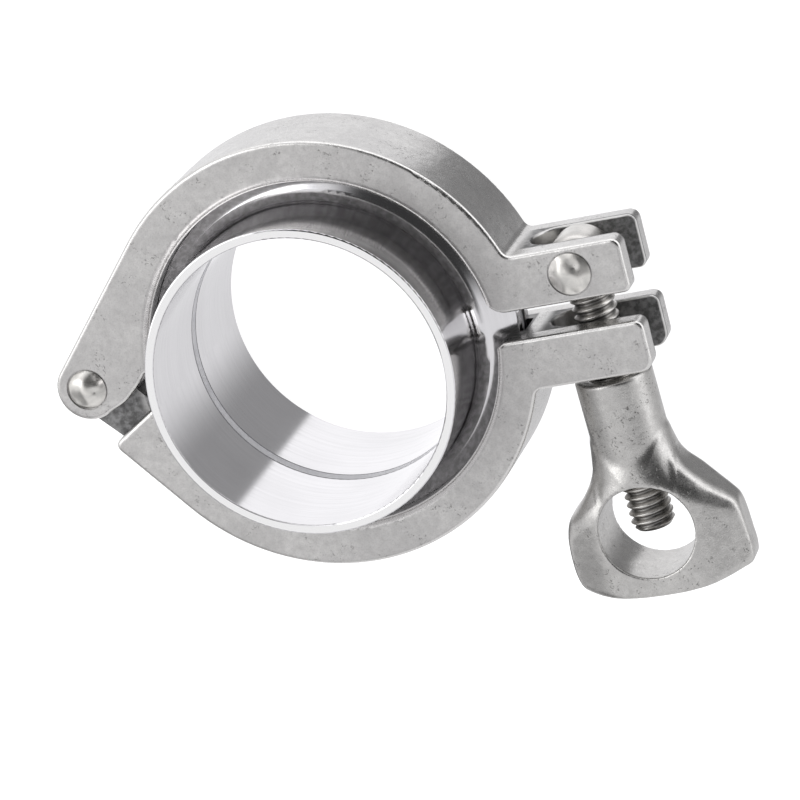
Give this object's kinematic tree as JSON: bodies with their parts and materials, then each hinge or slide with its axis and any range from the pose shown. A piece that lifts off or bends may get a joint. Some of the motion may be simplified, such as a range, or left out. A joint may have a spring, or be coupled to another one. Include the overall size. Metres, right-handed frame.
{
  "type": "sanitary hinged clamp",
  "caption": "Hinged V-band clamp with swing bolt and wing nut, closed round a gasketed pair of weld ferrules to join two sanitary tubes end to end.",
  "frame": {"origin": "on the tube axis, in the middle plane of the gasket, which is the middle of the clamp's width", "axes": "+Z along the tube axis out of the front ferrule, +X from the hinge towards the bolt side, +Y towards the half that carries the bolt"},
  "size_m": [0.1063, 0.0858, 0.0428],
  "materials": {
    "cast_steel": "investment cast stainless steel, satin blasted, with fine pits",
    "ferrule_steel": "turned stainless steel, polished",
    "rivet_steel": "stainless steel rivet, burnished head",
    "bolt_steel": "stainless steel, rolled thread, satin",
    "seal": "white silicone, matt"
  },
  "bodies": {
    "lower_assembly": {"lower_clamp_half": "cast_steel", "front_ferrule": "ferrule_steel", "rear_ferrule": "ferrule_steel", "gasket": "seal"},
    "upper_half": {"upper_clamp_half": "cast_steel", "hinge_pin": "rivet_steel", "bolt_pin": "rivet_steel"},
    "bolt": {"swing_bolt": "bolt_steel"},
    "nut": {"wing_nut": "cast_steel"}
  },
  "joints": [
    {"name": "clamp_hinge", "type": "hinge", "parent": "lower_assembly", "child": "upper_half", "pos_m": [-0.0407, 0.0012, 0], "axis": [0, 0, 1], "range_deg": [0, 16.2]},
    {"name": "bolt_swing", "type": "hinge", "parent": "upper_half", "child": "bolt", "pos_m": [0.0436, 0.0064, 0], "axis": [0, 0, 1], "range_deg": [-10, 200]},
    {"name": "nut_travel", "type": "slide", "parent": "bolt", "child": "nut", "axis": [0.0244, -0.9997, 0], "range_m": [0, 0.02442]}
  ],
  "couplings": [
    {"joint": "nut_travel", "follows": "clamp_hinge", "m_per_rad": 0.0863}
  ]
}
